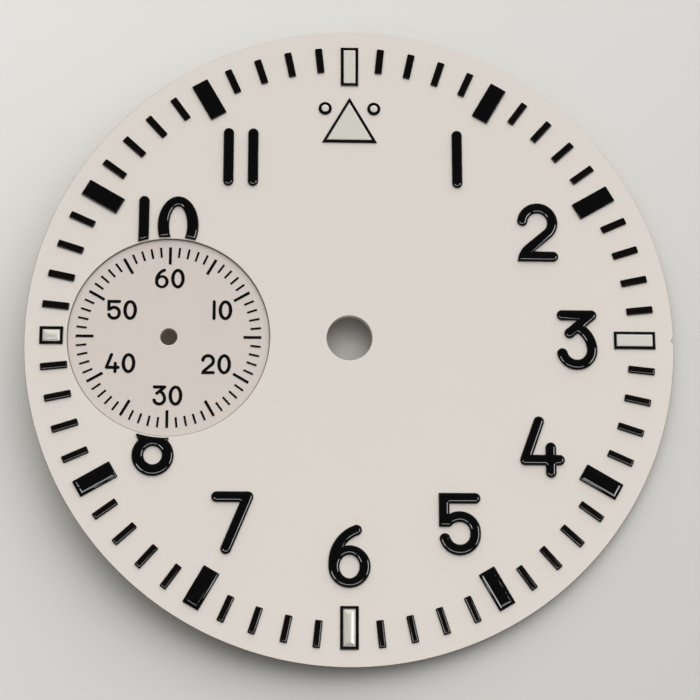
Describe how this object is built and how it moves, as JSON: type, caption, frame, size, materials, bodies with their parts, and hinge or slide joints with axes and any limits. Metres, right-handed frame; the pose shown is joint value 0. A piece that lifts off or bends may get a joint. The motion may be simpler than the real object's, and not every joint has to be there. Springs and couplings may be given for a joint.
{
  "type": "watch dial",
  "caption": "Round pilot-style watch dial with raised numerals, framed quarter marks and a recessed small seconds.",
  "frame": {"origin": "axis of the centre hole, in the back face that lies on the movement", "axes": "+X towards three o'clock, +Y towards twelve o'clock, +Z out of the face towards the crystal"},
  "size_m": [0.039, 0.039, 0.0022],
  "materials": {
    "dial_lacquer": "matt fine grained",
    "seconds_lacquer": "matt fine grained",
    "black_lacquer": "thick gloss",
    "luminous_paint": "pale satin",
    "scale_ink": "printed satin",
    "foot_copper": "bare copper"
  },
  "bodies": {
    "root": {"dial_foot_1": "foot_copper", "dial_foot_2": "foot_copper", "dial_plate": "dial_lacquer", "dot_fill_left": "luminous_paint", "dot_fill_right": "luminous_paint", "dot_ring_left": "black_lacquer", "dot_ring_right": "black_lacquer", "hour_block_1": "black_lacquer", "hour_block_10": "black_lacquer", "hour_block_11": "black_lacquer", "hour_block_2": "black_lacquer", "hour_block_4": "black_lacquer", "hour_block_5": "black_lacquer", "hour_block_7": "black_lacquer", "hour_block_8": "black_lacquer", "hour_fill_12": "luminous_paint", "hour_fill_3": "luminous_paint", "hour_fill_6": "luminous_paint", "hour_fill_9": "luminous_paint", "hour_frame_12": "black_lacquer", "hour_frame_3": "black_lacquer", "hour_frame_6": "black_lacquer", "hour_frame_9": "black_lacquer", "minute_marks_1": "black_lacquer", "minute_marks_2": "black_lacquer", "minute_marks_3": "black_lacquer", "minute_marks_4": "black_lacquer", "numeral_1": "black_lacquer", "numeral_10": "black_lacquer", "numeral_11": "black_lacquer", "numeral_2": "black_lacquer", "numeral_3": "black_lacquer", "numeral_4": "black_lacquer", "numeral_5": "black_lacquer", "numeral_6": "black_lacquer", "numeral_7": "black_lacquer", "numeral_8": "black_lacquer", "seconds_disc": "seconds_lacquer", "seconds_marks_long": "scale_ink", "seconds_marks_short": "scale_ink", "seconds_numeral_10": "scale_ink", "seconds_numeral_20": "scale_ink", "seconds_numeral_30": "scale_ink", "seconds_numeral_40": "scale_ink", "seconds_numeral_50": "scale_ink", "seconds_numeral_60": "scale_ink", "triangle_fill": "luminous_paint", "triangle_frame": "black_lacquer"}
  },
  "joints": []
}
